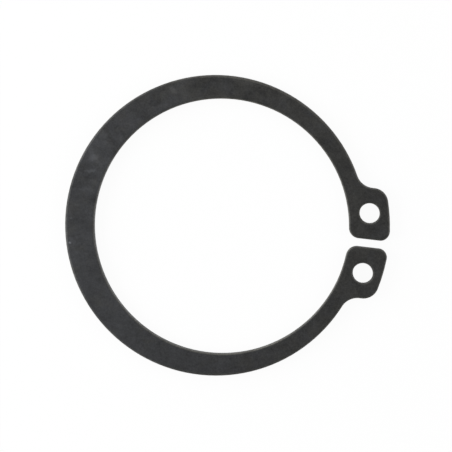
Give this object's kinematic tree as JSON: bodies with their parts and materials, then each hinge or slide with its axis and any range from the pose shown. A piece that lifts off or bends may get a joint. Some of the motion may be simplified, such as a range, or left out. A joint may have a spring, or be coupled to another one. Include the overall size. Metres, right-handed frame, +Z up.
{
  "type": "external retaining ring",
  "caption": "Flat open ring of dark spring steel that snaps into a groove on a shaft; its band tapers from the back to the gap, where lugs carry plier holes.",
  "frame": {"origin": "on the bore axis, in the plane of the lower face that the ring lies on", "axes": "+Z up along the bore axis; +X from the bore axis out through the middle of the gap; +Y towards one lug"},
  "size_m": [0.0464, 0.043, 0.0018],
  "materials": {
    "spring_steel": "dark grey phosphate coat on stamped spring steel, lightly oiled, matt and faintly cloudy"
  },
  "bodies": {
    "root": {"retaining_ring": "spring_steel"}
  },
  "joints": []
}
